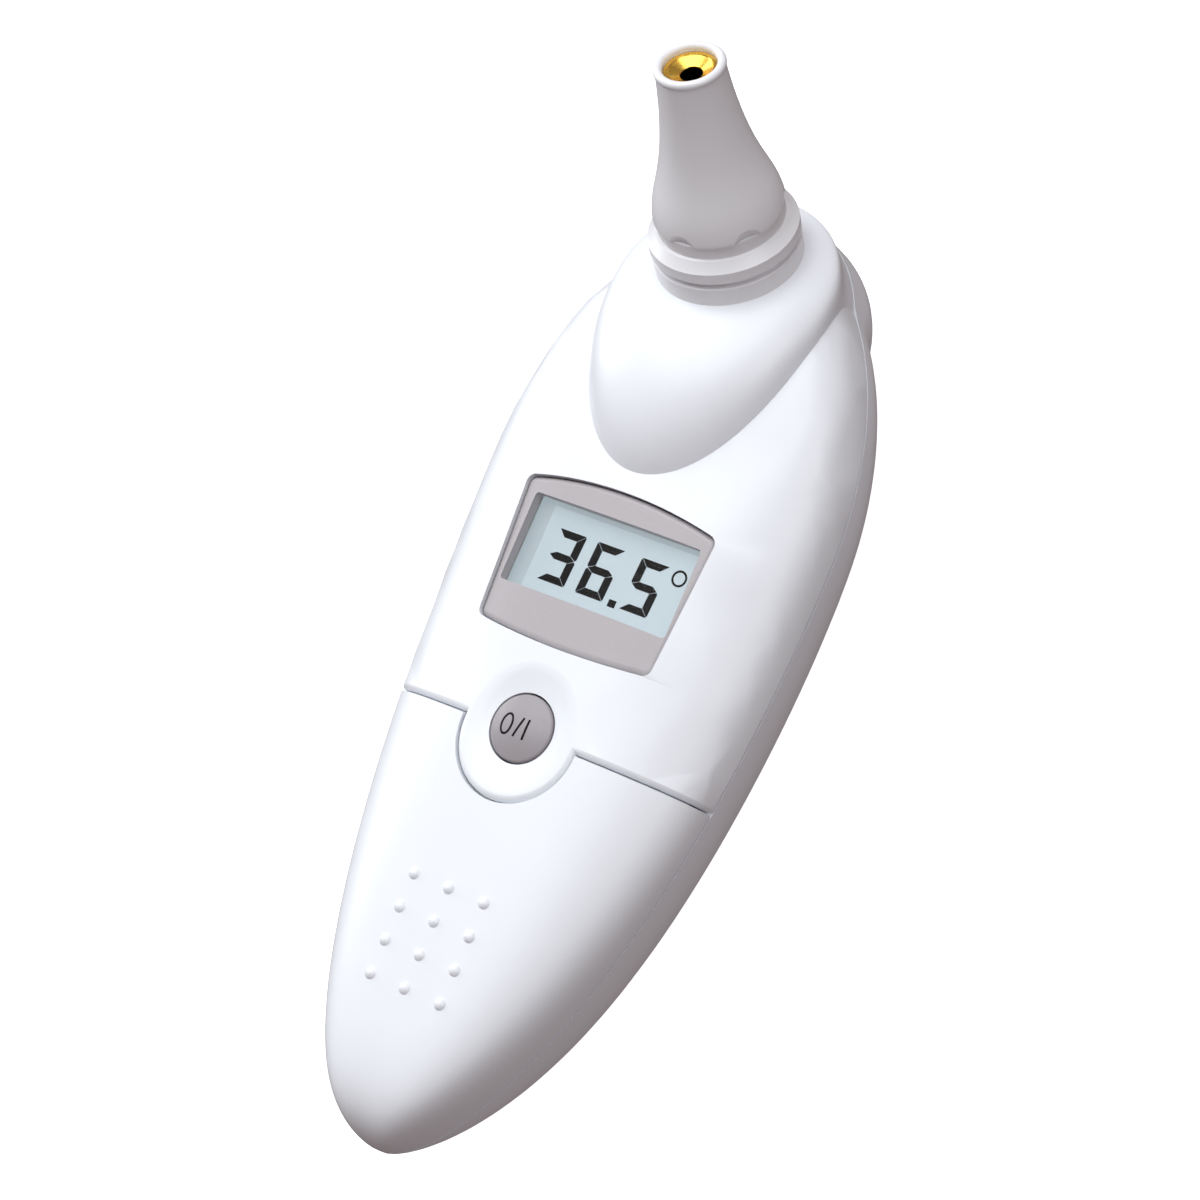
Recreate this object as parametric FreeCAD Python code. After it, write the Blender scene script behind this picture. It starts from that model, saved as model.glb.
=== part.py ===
import FreeCAD, Part
import math
import os

Vector = FreeCAD.Vector
os.makedirs("parts", exist_ok=True)

# Digital ear thermometer, lying on its back. Millimetres.
# While it is drawn: x to the right seen from the front, y towards the head, z out of the front face,
# with z = 0 on the parting plane between the two shells. The finished parts are then moved together so
# that the origin is the middle of the overall box, on the surface that the thermometer rests on.

# Leaf-shaped body
TAIL_Y = -52.0
HEAD_Y = 65.8
WIDEST_Y = 28.0
HALF_WIDTH = 23.8
THICKEST_Y = 10.0
CROWN = 10.1
DEPTH = 13.8
REST_Z = -13.0
WALL = 1.6
ROOT_INSET = 0.4
SEAM_GAP = 0.1
GROOVE_WIDTH = 0.3
GROOVE_DEPTH = 0.5
FRONT_POWER = 2.3
FRONT_POWER_TAIL_GAIN = 2.2
FRONT_POWER_HEAD_GAIN = 2.5
REAR_POWER = 3.2

# Raised head lobe that carries the probe
LOBE_Y = 54.1
LOBE_R = 14.0
LOBE_HEAD_REACH = 14.6
LOBE_TAIL_REACH = 26.4
LOBE_SHOULDER = 4.9
LOBE_TAIL_SHOULDER = 9.9
LOBE_REAR_ROUND = 9.0
LOBE_REAR_BLEND = 20.0

# Probe, measured along its own axis from the foot of the collar
PROBE_Y = 59.9
PROBE_Z = 9.8
PROBE_ANGLE = 59.9
COLLAR_R = 8.85
COLLAR_SINK = 0.3
FLANGE_R = 9.0
STEP_R = 7.6
TIP_R = 4.05
RING_TOP = 2.1
FLANGE_FOOT = 2.9
FLANGE_EDGE = 4.5
FLANGE_TOP = 5.6
STEP_TOP = 7.3
TIP_S = 28.1
SEAT_R = 6.4
SCALLOPS = 6

# Waveguide and sensor
MOUTH_S = 27.2
MOUTH_R = 3.1
GUIDE_BORE_R = 1.25
GUIDE_R = 1.75
GUIDE_FOOT = 8.0
CAN_R = 2.7
CAN_FOOT = 4.4
PIN_CIRCLE_R = 1.27

# Display
BEZEL_TOP_Y = 27.6
BEZEL_FOOT_Y = 10.2
BEZEL_TOP_HALF = 13.5
BEZEL_FOOT_HALF = 12.3
BEZEL_TOP_ARCH = 1.5
BEZEL_FOOT_ARCH = 0.8
BEZEL_CORNER_R = 1.0
BEZEL_SEAT_Z = 7.4
BEZEL_RECESS = 0.45
BEZEL_ROUND = 0.7
WINDOW_X = 0.22
WINDOW_HALF = 11.92
WINDOW_FOOT_Y = 14.9
WINDOW_TOP_Y = 26.0
LENS_THICK = 0.6
LCD_TOP_Z = 6.6
LCD_THICK = 1.6
FIT_GAP = 0.12

# Power button, in a round tab of the front housing
BUTTON_Y = -0.7
BUTTON_R = 4.1
BUTTON_GAP = 0.22
BUTTON_TOP_Z = 10.35
BUTTON_DOME_R = 12.0
BUTTON_FOOT_Z = 5.4
BUTTON_TRAVEL = 0.7
DISH_R = 7.4
DISH_DROP = 0.9
DISH_ROUND = 5.0
TAB_Y = -1.7
TAB_R = 7.9
BOSS_R = 6.0
BOSS_FOOT_Z = 6.6

# Battery cover and tray
COVER_Y = -1.3
COVER_GAP = 0.22
SEAM_ROUND = 0.7
LIP_THICK = 1.0
LIP_REACH = 2.6
BUMP_PITCH_X = 5.1
BUMP_PITCH_Y = 4.17
BUMP_FIRST_Y = -20.9
BUMP_R = 0.75
BUMP_HEIGHT = 0.45
CELL_R = 10.0
CELL_THICK = 3.2
CELL_Y = -24.5
CELL_FOOT_Z = 0.6
TRAY_FLOOR = 1.2
TRAY_WALL_TOP = 3.6
CLIP_HALF = 1.8
CLIP_THICK = 0.3
CLIP_FOOT_Z = -1.9
STRIP_LEFT = 4.0
STRIP_RIGHT = 6.5
STRIP_REACH = 12.0

# Circuit board
BOARD_TOP_Z = 2.6
BOARD_THICK = 1.0
BOARD_FOOT_Y = -9.8
BOARD_HEAD_Y = 48.0

# Measuring button on the back of the head
SCAN_Y = 44.5
SCAN_HALF_X = 5.6
SCAN_HALF_Y = 4.2
SCAN_SINK = 0.2
SCAN_TRAVEL = 0.7
SCAN_GAP = 0.25

# Screws
SCREW_R = 1.0
SCREW_HEAD_R = 2.0
BACK_SCREWS = [(-13.0, 35.0), (13.0, 35.0)]
TRAY_SCREWS = [(-11.0, -8.5), (11.0, -8.5)]
BOARD_SCREWS = [(-12.5, 5.0), (12.5, 5.0)]

PILLAR_R = 2.4
BOARD_PILLAR_R = 2.2

# Computed places
LENS_FOOT_Z = BEZEL_SEAT_Z - LENS_THICK
SWITCH_HEIGHT = BUTTON_FOOT_Z - BUTTON_TRAVEL - 0.1 - BOARD_TOP_Z
SWITCH_FOOT_Z = BOARD_TOP_Z - BOARD_THICK - SWITCH_HEIGHT
FAR = 200.0


# ---------- general helpers ----------

def box(x0, x1, y0, y1, z0, z1):
    return Part.makeBox(x1 - x0, y1 - y0, z1 - z0, Vector(x0, y0, z0))


def cylinder(radius, x, y, z0, z1):
    return Part.makeCylinder(radius, z1 - z0, Vector(x, y, z0))


def tube(outer, inner, x, y, z0, z1):
    return cylinder(outer, x, y, z0, z1).cut(cylinder(inner, x, y, z0, z1))


def fuse_all(shapes):
    whole = shapes[0]
    for shape in shapes[1:]:
        whole = whole.fuse(shape)
    return whole


def cut_all(shape, cutters):
    for cutter in cutters:
        shape = shape.cut(cutter)
    return shape


def closed_spline(points):
    curve = Part.BSplineCurve()
    curve.interpolate(Points=points, PeriodicFlag=True)
    return Part.Wire([curve.toShape()])


def prism(points, z0, z1):
    wire = Part.makePolygon(points + [points[0]])
    return Part.Face(wire).extrude(Vector(0, 0, z1 - z0)).translated(Vector(0, 0, z0))


def rounded_box(x0, x1, y0, y1, z0, z1, radius):
    solid = box(x0, x1, y0, y1, z0, z1)
    upright = [e for e in solid.Edges if abs(e.Vertexes[0].Z - e.Vertexes[1].Z) > 1e-6]
    return solid.makeFillet(radius, upright)


def above(z):
    return box(-FAR, FAR, -FAR, FAR, z, FAR)


def below(z):
    return box(-FAR, FAR, -FAR, FAR, -FAR, z)


# ---------- body surfaces ----------

def side_profile(y, middle, tail_length, head_length, height, tail_power, head_power, root):
    if y < middle:
        return height * (1.0 - ((middle - y) / tail_length) ** tail_power) ** root
    return height * (1.0 - ((y - middle) / head_length) ** head_power) ** 0.5


def half_width(y, inset):
    return side_profile(y, WIDEST_Y, WIDEST_Y - TAIL_Y - inset, HEAD_Y - WIDEST_Y - inset,
                        HALF_WIDTH - inset, 2.2, 2.02, 0.62)


def crown(y, inset):
    return side_profile(y, THICKEST_Y, THICKEST_Y - TAIL_Y - inset, HEAD_Y - THICKEST_Y - inset,
                        CROWN - inset, 16.0, 5.5, 0.55)


def depth(y, inset):
    return side_profile(y, THICKEST_Y, THICKEST_Y - TAIL_Y - inset, HEAD_Y - THICKEST_Y - inset,
                        DEPTH - inset, 4.3, 1.8, 0.92)


def front_power(y):
    """How square the front of a cross-section is: rounded amidships, squarer towards both ends."""
    if y < THICKEST_Y:
        return FRONT_POWER + FRONT_POWER_TAIL_GAIN * ((THICKEST_Y - y) / (THICKEST_Y - TAIL_Y)) ** 2
    return FRONT_POWER + FRONT_POWER_HEAD_GAIN * ((y - THICKEST_Y) / (HEAD_Y - THICKEST_Y)) ** 2


def front_z(x, y):
    """Height of the front surface above the parting plane."""
    share = abs(x) / half_width(y, 0)
    power = front_power(y)
    return crown(y, 0) * (1.0 - share ** power) ** (1.0 / power)


def signed_power(value, exponent):
    return math.copysign(abs(value) ** exponent, value)


def leaf_section(y, inset, start):
    points = []
    count = 32
    for i in range(count):
        turn = start + 2 * math.pi * i / count
        c, s = math.cos(turn), math.sin(turn)
        power = front_power(y) if s > 0 else REAR_POWER
        height = crown(y, inset) if s > 0 else depth(y, inset)
        points.append(Vector(half_width(y, inset) * signed_power(c, 2.0 / power), y,
                             height * signed_power(s, 2.0 / power)))
    return closed_spline(points)


LEAVES = {}


def leaf(inset, half="front"):
    """The whole leaf body, as a loft of cross-sections from tail to head.

    The surface closes on itself along the middle of the half that isn't being worked on.
    """
    if (inset, half) not in LEAVES:
        LEAVES[inset, half] = leaf_loft(inset, -math.pi / 2 if half == "front" else math.pi / 2)
    return LEAVES[inset, half]


def leaf_loft(inset, seam):
    start, end = TAIL_Y + inset, HEAD_Y - inset
    sections = []
    count = 19
    first = 0.07
    for i in range(count):
        turn = first + (math.pi - 2 * first) * i / (count - 1)
        y = (start + end) / 2 - (end - start) / 2 * math.cos(turn)
        sections.append(leaf_section(y, inset, seam))
    return Part.makeLoft(sections, True, False)


def on_probe(x, across, s):
    """A point given across and along the probe's axis."""
    a = math.radians(PROBE_ANGLE)
    return Vector(x, PROBE_Y + across * math.sin(a) + s * math.cos(a),
                  PROBE_Z - across * math.cos(a) + s * math.sin(a))


def lobe_point(turn, rise, inset):
    """A point of the raised lobe: from its foot on the parting plane to the ring under the collar."""
    c, s = math.cos(turn), math.sin(turn)
    reach = LOBE_HEAD_REACH if s > 0 else LOBE_TAIL_REACH
    foot = Vector((LOBE_R - inset) * c, LOBE_Y + (reach - inset) * s, 0)
    ring_s = -COLLAR_SINK - inset
    ring = on_probe((COLLAR_R - inset) * c, (COLLAR_R - inset) * s, ring_s)
    upright = foot + Vector(0, 0, 0.94 * ring.z)
    out = LOBE_SHOULDER + (LOBE_TAIL_SHOULDER - LOBE_SHOULDER) * (1.0 - s) / 2
    wide = COLLAR_R - inset + out
    shoulder = on_probe(wide * c, wide * s, ring_s - 0.21 * out)
    b = 1.0 - rise
    return foot * b ** 3 + upright * (3 * b * b * rise) + shoulder * (3 * b * rise ** 2) + ring * rise ** 3


def front_lobe(inset):
    sections = []
    for rise in (0.0, 0.15, 0.3, 0.45, 0.6, 0.75, 0.88, 1.0):
        turns = [math.pi / 2 + 2 * math.pi * i / 28 for i in range(28)]
        sections.append(closed_spline([lobe_point(t, rise, inset) for t in turns]))
    return Part.makeLoft(sections, True, False)


def rear_lobe(inset):
    """Oval drum behind the parting plane, under the front lobe, with a well rounded bottom edge."""
    oval = Part.Ellipse(Vector(0, 0, 0), LOBE_HEAD_REACH - inset, LOBE_R - inset)
    drum = Part.Face(Part.Wire([oval.toShape()])).extrude(Vector(0, 0, REST_Z + inset))
    drum.rotate(Vector(0, 0, 0), Vector(0, 0, 1), 90)
    bottom = [e for e in drum.Edges if e.BoundBox.ZMax < -1.0]
    return drum.makeFillet(LOBE_REAR_ROUND - inset, bottom).translated(Vector(0, LOBE_Y, 0))


def front_solid(inset):
    return leaf(inset).common(above(0)).fuse(front_lobe(inset))


def rear_solid(inset):
    """Everything behind the parting plane, flat where the thermometer rests."""
    return leaf(inset, "rear").common(below(0)).common(above(REST_Z + inset)).fuse(rear_lobe(inset))


def blended_rear():
    """The outside of the rear shell, with the creases between leaf and drum smoothed."""
    solid = rear_solid(0)
    creases = [e for e in solid.Edges if e.BoundBox.ZLength > 3.0
               and LOBE_Y < e.BoundBox.Center.y < HEAD_Y and abs(e.BoundBox.Center.x) < LOBE_R]
    return solid.makeFillet(LOBE_REAR_BLEND, creases)


# ---------- probe axis helpers ----------

def to_probe(shape):
    turn = FreeCAD.Rotation(Vector(1, 0, 0), -(90.0 - PROBE_ANGLE))
    placed = shape.copy()
    placed.Placement = FreeCAD.Placement(Vector(0, PROBE_Y, PROBE_Z), turn)
    return placed


def turned(outline):
    """A body of revolution about the probe's axis, from (radius, height) points or edges."""
    points = [Vector(r, 0, s) for r, s in outline]
    face = Part.Face(Part.makePolygon(points + [points[0]]))
    return to_probe(face.revolve(Vector(0, 0, 0), Vector(0, 0, 1), 360))


def probe_cylinder(radius, s0, s1):
    return to_probe(Part.makeCylinder(radius, s1 - s0, Vector(0, 0, s0)))


# ---------- display ----------

def bezel_outline(gap):
    top, foot = BEZEL_TOP_Y + gap, BEZEL_FOOT_Y - gap
    wide, narrow = BEZEL_TOP_HALF + gap, BEZEL_FOOT_HALF + gap
    a, b = Vector(-wide, top, 0), Vector(wide, top, 0)
    c, d = Vector(narrow, foot, 0), Vector(-narrow, foot, 0)
    edges = [Part.Arc(a, Vector(0, top + BEZEL_TOP_ARCH, 0), b).toShape(), Part.makeLine(b, c),
             Part.Arc(c, Vector(0, foot - BEZEL_FOOT_ARCH, 0), d).toShape(), Part.makeLine(d, a)]
    return Part.Face(Part.Wire(edges))


def bezel_block(gap, z0, z1):
    block = bezel_outline(gap).extrude(Vector(0, 0, z1 - z0)).translated(Vector(0, 0, z0))
    upright = [e for e in block.Edges if abs(e.Vertexes[0].Z - e.Vertexes[-1].Z) > 1e-6]
    return block.makeFillet(BEZEL_CORNER_R + gap, upright)


def window_block(grow, z0, z1, radius=0.5):
    half = WINDOW_HALF + grow
    return rounded_box(WINDOW_X - half, WINDOW_X + half, WINDOW_FOOT_Y - grow, WINDOW_TOP_Y + grow,
                       z0, z1, radius)


# ---------- front housing, battery cover, rear housing ----------

def dish():
    """The shallow round hollow that the power button sits in."""
    ball_r = (DISH_R ** 2 + DISH_DROP ** 2) / (2 * DISH_DROP)
    rim_z = front_z(0, BUTTON_Y)
    return Part.makeSphere(ball_r, Vector(0, BUTTON_Y, rim_z - DISH_DROP + ball_r))


def tab_region(radius, y_top):
    """Seen from the front: the round tab, open towards the head."""
    disc = cylinder(radius, 0, TAB_Y, -FAR, FAR)
    return disc.fuse(box(-radius, radius, TAB_Y, y_top, -FAR, FAR))


def seam_edges(housing):
    """The housing's outer edges over the battery cover: a straight one each side and the tab's outline."""
    found = []
    for edge in housing.Edges:
        reach = edge.BoundBox
        over_cover = reach.YMax < COVER_Y + COVER_GAP / 2 + 0.01 and reach.ZMax > CROWN - WALL / 2
        if over_cover and reach.XLength + reach.YLength > 0.1:
            found.append(edge)
    return found


def dish_edges(housing):
    """The rim of the hollow round the power button."""
    found = []
    for edge in housing.Edges:
        reach = edge.BoundBox
        outside_hole = reach.XLength > 2 * BUTTON_R + 2 and reach.ZMin > BOSS_FOOT_Z + 2
        if outside_hole and abs(reach.Center.y - BUTTON_Y) < 0.1:
            found.append(edge)
    return found


def front_housing(outer, inner):
    upper = box(-FAR, FAR, COVER_Y + COVER_GAP / 2, FAR, SEAM_GAP, FAR)
    region = upper.fuse(tab_region(TAB_R, 0).common(above(SEAM_GAP)))
    shell = outer.cut(inner).common(region)
    boss = cylinder(BOSS_R, 0, BUTTON_Y, BOSS_FOOT_Z, CROWN)
    display_boss = rounded_box(-BEZEL_TOP_HALF - 2, BEZEL_TOP_HALF + 2, BEZEL_FOOT_Y - 2.6,
                               BEZEL_TOP_Y + 3.2, LENS_FOOT_Z, CROWN, 2.0)
    posts = [tube(2.4, SCREW_R, x, y, 1.0, CROWN) for x, y in BACK_SCREWS]
    roots = leaf(ROOT_INSET)
    inside = [s.common(roots) for s in [boss, display_boss] + posts]
    whole = fuse_all([shell] + inside)
    cuts = [dish(), cylinder(BUTTON_R + BUTTON_GAP, 0, BUTTON_Y, 0, FAR),
            bezel_block(FIT_GAP, BEZEL_SEAT_Z, CROWN + 5),
            window_block(0.6, 0, BEZEL_SEAT_Z + 1),
            probe_cylinder(SEAT_R + 0.1, -8, 10)]
    whole = cut_all(whole, cuts)
    whole = whole.makeFillet(SEAM_ROUND, seam_edges(whole))
    return whole.makeFillet(DISH_ROUND, dish_edges(whole))


def bump(x, y):
    ball_r = (BUMP_R ** 2 + BUMP_HEIGHT ** 2) / (2 * BUMP_HEIGHT)
    return Part.makeSphere(ball_r, Vector(x, y, front_z(x, y) + BUMP_HEIGHT - ball_r))


def battery_cover(outer, inner):
    region = box(-FAR, FAR, -FAR, COVER_Y - COVER_GAP / 2, SEAM_GAP, FAR)
    region = region.cut(tab_region(TAB_R + COVER_GAP, 0))
    shell = outer.cut(inner).common(region)
    lip = leaf(WALL).cut(leaf(WALL + LIP_THICK)).common(
        box(-FAR, FAR, TAB_Y - TAB_R - LIP_REACH - 1, COVER_Y + LIP_REACH, 2.0, FAR))
    lip = lip.cut(tab_region(BOSS_R + 0.5, FAR))
    lip = lip.common(box(-FAR, FAR, COVER_Y - LIP_REACH, FAR, 0, FAR).fuse(
        cylinder(TAB_R + LIP_REACH, 0, TAB_Y, 0, FAR)))
    clear = leaf(WALL + FIT_GAP)
    under_housing = box(-FAR, FAR, COVER_Y - COVER_GAP / 2, FAR, 0, FAR).fuse(
        tab_region(TAB_R + COVER_GAP, 0))
    lip = lip.cut(under_housing.cut(clear))
    rows = [BUMP_FIRST_Y - BUMP_PITCH_Y * i for i in range(4)]
    bumps = [bump(x, y) for x in (-BUMP_PITCH_X, 0, BUMP_PITCH_X) for y in rows]
    return fuse_all([shell, lip] + bumps)


def pillar(roots, radius, bore, x, y, top):
    """A hollow screw pillar standing on the inside of the rear wall."""
    foot = tube(radius, bore, x, y, REST_Z, min(-1.0, top)).common(roots)
    return foot.fuse(tube(radius, bore, x, y, -1.0, top)) if top > -1.0 else foot


def rear_housing(outer, inner):
    groove = box(-FAR, FAR, -FAR, FAR, -GROOVE_WIDTH, 1).cut(rear_solid(GROOVE_DEPTH))
    shell = outer.cut(inner).cut(groove)
    roots = rear_solid(ROOT_INSET)
    well_r, stout_r = SCREW_HEAD_R + 0.25, SCREW_HEAD_R + 1.2
    holes = [cylinder(well_r, x, y, REST_Z - 1, -5) for x, y in BACK_SCREWS]
    shell = cut_all(shell, holes + [scan_plan(SCAN_GAP, REST_Z - 1, -4)])
    pillars = [tube(stout_r, well_r, x, y, REST_Z, REST_Z + 4).common(roots) for x, y in BACK_SCREWS]
    pillars += [tube(stout_r, SCREW_R + 0.15, x, y, REST_Z + 4, 0.9) for x, y in BACK_SCREWS]
    pillars += [pillar(roots, PILLAR_R, SCREW_R, x, y, -TRAY_FLOOR) for x, y in TRAY_SCREWS]
    board_foot = BOARD_TOP_Z - BOARD_THICK
    pillars += [pillar(roots, BOARD_PILLAR_R, SCREW_R, x, y, board_foot) for x, y in BOARD_SCREWS]
    return fuse_all([shell] + pillars)


# ---------- buttons ----------

def power_button():
    rod = cylinder(BUTTON_R, 0, BUTTON_Y, BUTTON_FOOT_Z, BUTTON_TOP_Z)
    dome = Part.makeSphere(BUTTON_DOME_R, Vector(0, BUTTON_Y, BUTTON_TOP_Z - BUTTON_DOME_R))
    cap = rod.common(dome)
    rim = [e for e in cap.Edges if e.BoundBox.ZMin > BUTTON_TOP_Z - 1.5 and e.BoundBox.ZLength < 0.01]
    cap = cap.makeFillet(0.35, rim)
    skirt = cylinder(BUTTON_R + 0.9, 0, BUTTON_Y, BUTTON_FOOT_Z, BOSS_FOOT_Z - 0.25)
    hollow = cylinder(BUTTON_R - 1.2, 0, BUTTON_Y, BUTTON_FOOT_Z, BUTTON_TOP_Z - 2.2)
    stem = cylinder(1.4, 0, BUTTON_Y, BUTTON_FOOT_Z, BUTTON_TOP_Z - 2.0)
    return cap.fuse(skirt).cut(hollow).fuse(stem).removeSplitter()


def scan_plan(grow, z0, z1):
    """The oval outline of the measuring button, drawn up into a prism."""
    oval = Part.Ellipse(Vector(0, SCAN_Y, z0), SCAN_HALF_X + grow, SCAN_HALF_Y + grow)
    return Part.Face(Part.Wire([oval.toShape()])).extrude(Vector(0, 0, z1 - z0))


def scan_button(outer):
    """Oval button whose face follows the rear shell, just inside it."""
    cap = scan_plan(0, REST_Z, -6.0).common(outer.translated(Vector(0, 0, SCAN_SINK)))
    flange = scan_plan(1.0, -8.2, -7.2)
    stem = cylinder(1.6, 0, SCAN_Y, -7.2, SWITCH_FOOT_Z - 0.8)
    return cap.fuse(flange).fuse(stem).removeSplitter()


def tact_switch(y, base_z, sign):
    """A small push switch: square base, short round plunger, standing up or hanging down."""
    def span(z0, z1):
        return min(base_z + sign * z0, base_z + sign * z1), max(base_z + sign * z0, base_z + sign * z1)
    low, high = span(0, 1.3)
    base = rounded_box(-3, 3, y - 3, y + 3, low, high, 0.4)
    low, high = span(1.3, SWITCH_HEIGHT)
    return base.fuse(cylinder(1.5, 0, y, low, high)).removeSplitter()


# ---------- display stack and board ----------

def display_bezel():
    skin = leaf(BEZEL_RECESS)
    block = bezel_block(0, BEZEL_SEAT_Z, CROWN + 5).common(skin)
    outer_rim = [e for e in block.Edges if e.BoundBox.ZMin > BEZEL_SEAT_Z + 0.5
                 and not within_window(e.CenterOfMass)]
    return block.makeFillet(BEZEL_ROUND, outer_rim).cut(window_block(0, 0, FAR))


def within_window(point):
    return abs(point.x - WINDOW_X) < WINDOW_HALF and WINDOW_FOOT_Y < point.y < WINDOW_TOP_Y


def display_lens():
    return window_block(0.5, LENS_FOOT_Z, BEZEL_SEAT_Z, 0.4)


def lcd_panel():
    half = WINDOW_HALF + 0.3
    return box(WINDOW_X - half, WINDOW_X + half, WINDOW_FOOT_Y - 1.0, WINDOW_TOP_Y + 0.6,
               LCD_TOP_Z - LCD_THICK, LCD_TOP_Z)


def lcd_holder():
    foot, head = WINDOW_FOOT_Y, WINDOW_TOP_Y
    left, right = WINDOW_X - WINDOW_HALF - 0.4, WINDOW_X + WINDOW_HALF + 0.4
    outer = rounded_box(-14.4, 14.4, foot - 3.2, head + 2.8, BOARD_TOP_Z, LCD_TOP_Z - 0.15, 1.0)
    pocket = box(left, right, foot - 1.1, head + 0.7, LCD_TOP_Z - LCD_THICK, LCD_TOP_Z)
    slots = box(left, right, foot - 1.1, foot + 0.9, BOARD_TOP_Z, LCD_TOP_Z)
    well = box(-10.5, 10.5, foot + 2.2, head - 1.0, BOARD_TOP_Z, LCD_TOP_Z)
    return cut_all(outer, [pocket, slots, well])


def zebra_strip():
    foot = WINDOW_FOOT_Y
    return box(-11.4, 11.4, foot - 0.8, foot + 0.6, BOARD_TOP_Z, LCD_TOP_Z - LCD_THICK)


def circuit_board():
    low, high = BOARD_TOP_Z - BOARD_THICK, BOARD_TOP_Z
    plan = [Vector(-7.5, BOARD_FOOT_Y, 0), Vector(7.5, BOARD_FOOT_Y, 0), Vector(19, 0, 0),
            Vector(19.5, 24, 0), Vector(9.0, BOARD_HEAD_Y, 0), Vector(-9.0, BOARD_HEAD_Y, 0),
            Vector(-19.5, 24, 0), Vector(-19, 0, 0)]
    plate = prism(plan, low, high)
    holes = [cylinder(SCREW_R + 0.1, x, y, low, high) for x, y in BOARD_SCREWS]
    holes += [cylinder(3.0, x, y, low, high) for x, y in BACK_SCREWS]
    return cut_all(plate, holes)


def processor_chip():
    top = BOARD_TOP_Z - BOARD_THICK
    return rounded_box(-4.5, 4.5, 24.5, 33.5, top - 1.1, top, 0.4)


def buzzer():
    top = BOARD_TOP_Z - BOARD_THICK
    case = cylinder(6.0, 0, 12.0, top - 3.2, top)
    return case.cut(cylinder(1.0, 0, 12.0, top - 3.2, top - 2.2))


# ---------- battery tray ----------

def battery_tray():
    floor = leaf(WALL + 0.95).common(box(-FAR, FAR, -46, -6.5, -TRAY_FLOOR, 0))
    ring = tube(CELL_R + 1.5, CELL_R + 0.3, 0, CELL_Y, 0, TRAY_WALL_TOP)
    finger_gap = box(-4.5, 4.5, CELL_Y + 6, CELL_Y + 14, 0.8, FAR)
    contact_gap = box(-3.2, 3.2, CELL_Y - 14, CELL_Y - 6, 0, FAR)
    ring = ring.cut(finger_gap).cut(contact_gap)
    holes = [cylinder(SCREW_R + 0.15, x, y, -FAR, FAR) for x, y in TRAY_SCREWS]
    clip_half = CLIP_HALF + 0.4
    slots = [box(-clip_half, clip_half, CELL_Y - 11.6, CELL_Y - 10.4, -FAR, 0.1),
             box(-clip_half, clip_half, BOARD_FOOT_Y - 1.1, BOARD_FOOT_Y, -FAR, 0.1)]
    channel = box(STRIP_LEFT - 0.3, STRIP_RIGHT + 0.3, CELL_Y - 3.3, CELL_Y + STRIP_REACH + 0.3, 0, FAR)
    return cut_all(fuse_all([floor, ring.cut(channel)]), holes + slots)


def contact_positive():
    """Sheet-metal clip at the cell's tail side, with a finger over the cell and a tail to the board."""
    back, head = CELL_Y - CELL_R - 0.9, BOARD_FOOT_Y - 0.4
    top = CELL_FOOT_Z + CELL_THICK + 0.5
    half = CLIP_HALF
    plate = box(-half, half, back, back + CLIP_THICK, CLIP_FOOT_Z, top)
    finger = box(-half, half, back, back + 4.0, top - CLIP_THICK, top)
    tail = box(-half, half, back, head, CLIP_FOOT_Z, CLIP_FOOT_Z + CLIP_THICK)
    rise = box(-half, half, head - CLIP_THICK, head, CLIP_FOOT_Z, BOARD_TOP_Z)
    return fuse_all([plate, finger, tail, rise])


def contact_negative():
    """Flat strip under the cell with a raised contact, bent up towards the board."""
    head = CELL_Y + STRIP_REACH
    strip = box(STRIP_LEFT, STRIP_RIGHT, CELL_Y - 3, head, 0.05, 0.3)
    point = cylinder(1.1, (STRIP_LEFT + STRIP_RIGHT) / 2, CELL_Y - 1.5, 0.3, CELL_FOOT_Z - 0.02)
    rise = box(STRIP_LEFT, STRIP_RIGHT, head - 0.3, head, 0.05, BOARD_TOP_Z - 0.2)
    return fuse_all([strip, point, rise])


def coin_cell():
    can = cylinder(CELL_R, 0, CELL_Y, CELL_FOOT_Z + 0.3, CELL_FOOT_Z + CELL_THICK)
    base = cylinder(CELL_R - 1.1, 0, CELL_Y, CELL_FOOT_Z, CELL_FOOT_Z + 0.3)
    rim = [e for e in can.Edges if abs(e.BoundBox.ZMin - CELL_FOOT_Z - CELL_THICK) < 0.01
           and e.BoundBox.ZLength < 0.01]
    return can.makeFillet(0.3, rim).fuse(base)


# ---------- probe ----------

def collar_ring():
    return turned([(SEAT_R + 0.1, -COLLAR_SINK), (COLLAR_R, -COLLAR_SINK), (COLLAR_R, RING_TOP - 0.15),
                   (COLLAR_R - 0.15, RING_TOP), (COLLAR_R - 0.7, RING_TOP), (COLLAR_R - 0.7, FLANGE_FOOT),
                   (SEAT_R + 0.1, FLANGE_FOOT)])


def probe_flange():
    return turned([(SEAT_R, FLANGE_FOOT), (FLANGE_R - 0.12, FLANGE_FOOT), (FLANGE_R, FLANGE_FOOT + 0.12),
                   (FLANGE_R, FLANGE_EDGE - 0.1), (FLANGE_R - 0.25, FLANGE_EDGE + 0.15),
                   (STEP_R + 0.35, FLANGE_TOP - 0.08), (STEP_R, FLANGE_TOP),
                   (STEP_R, STEP_TOP), (SEAT_R, STEP_TOP)])


def cone_curve(points):
    curve = Part.BSplineCurve()
    curve.interpolate([Vector(r, 0, s) for r, s in points])
    return curve.toShape()


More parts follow.
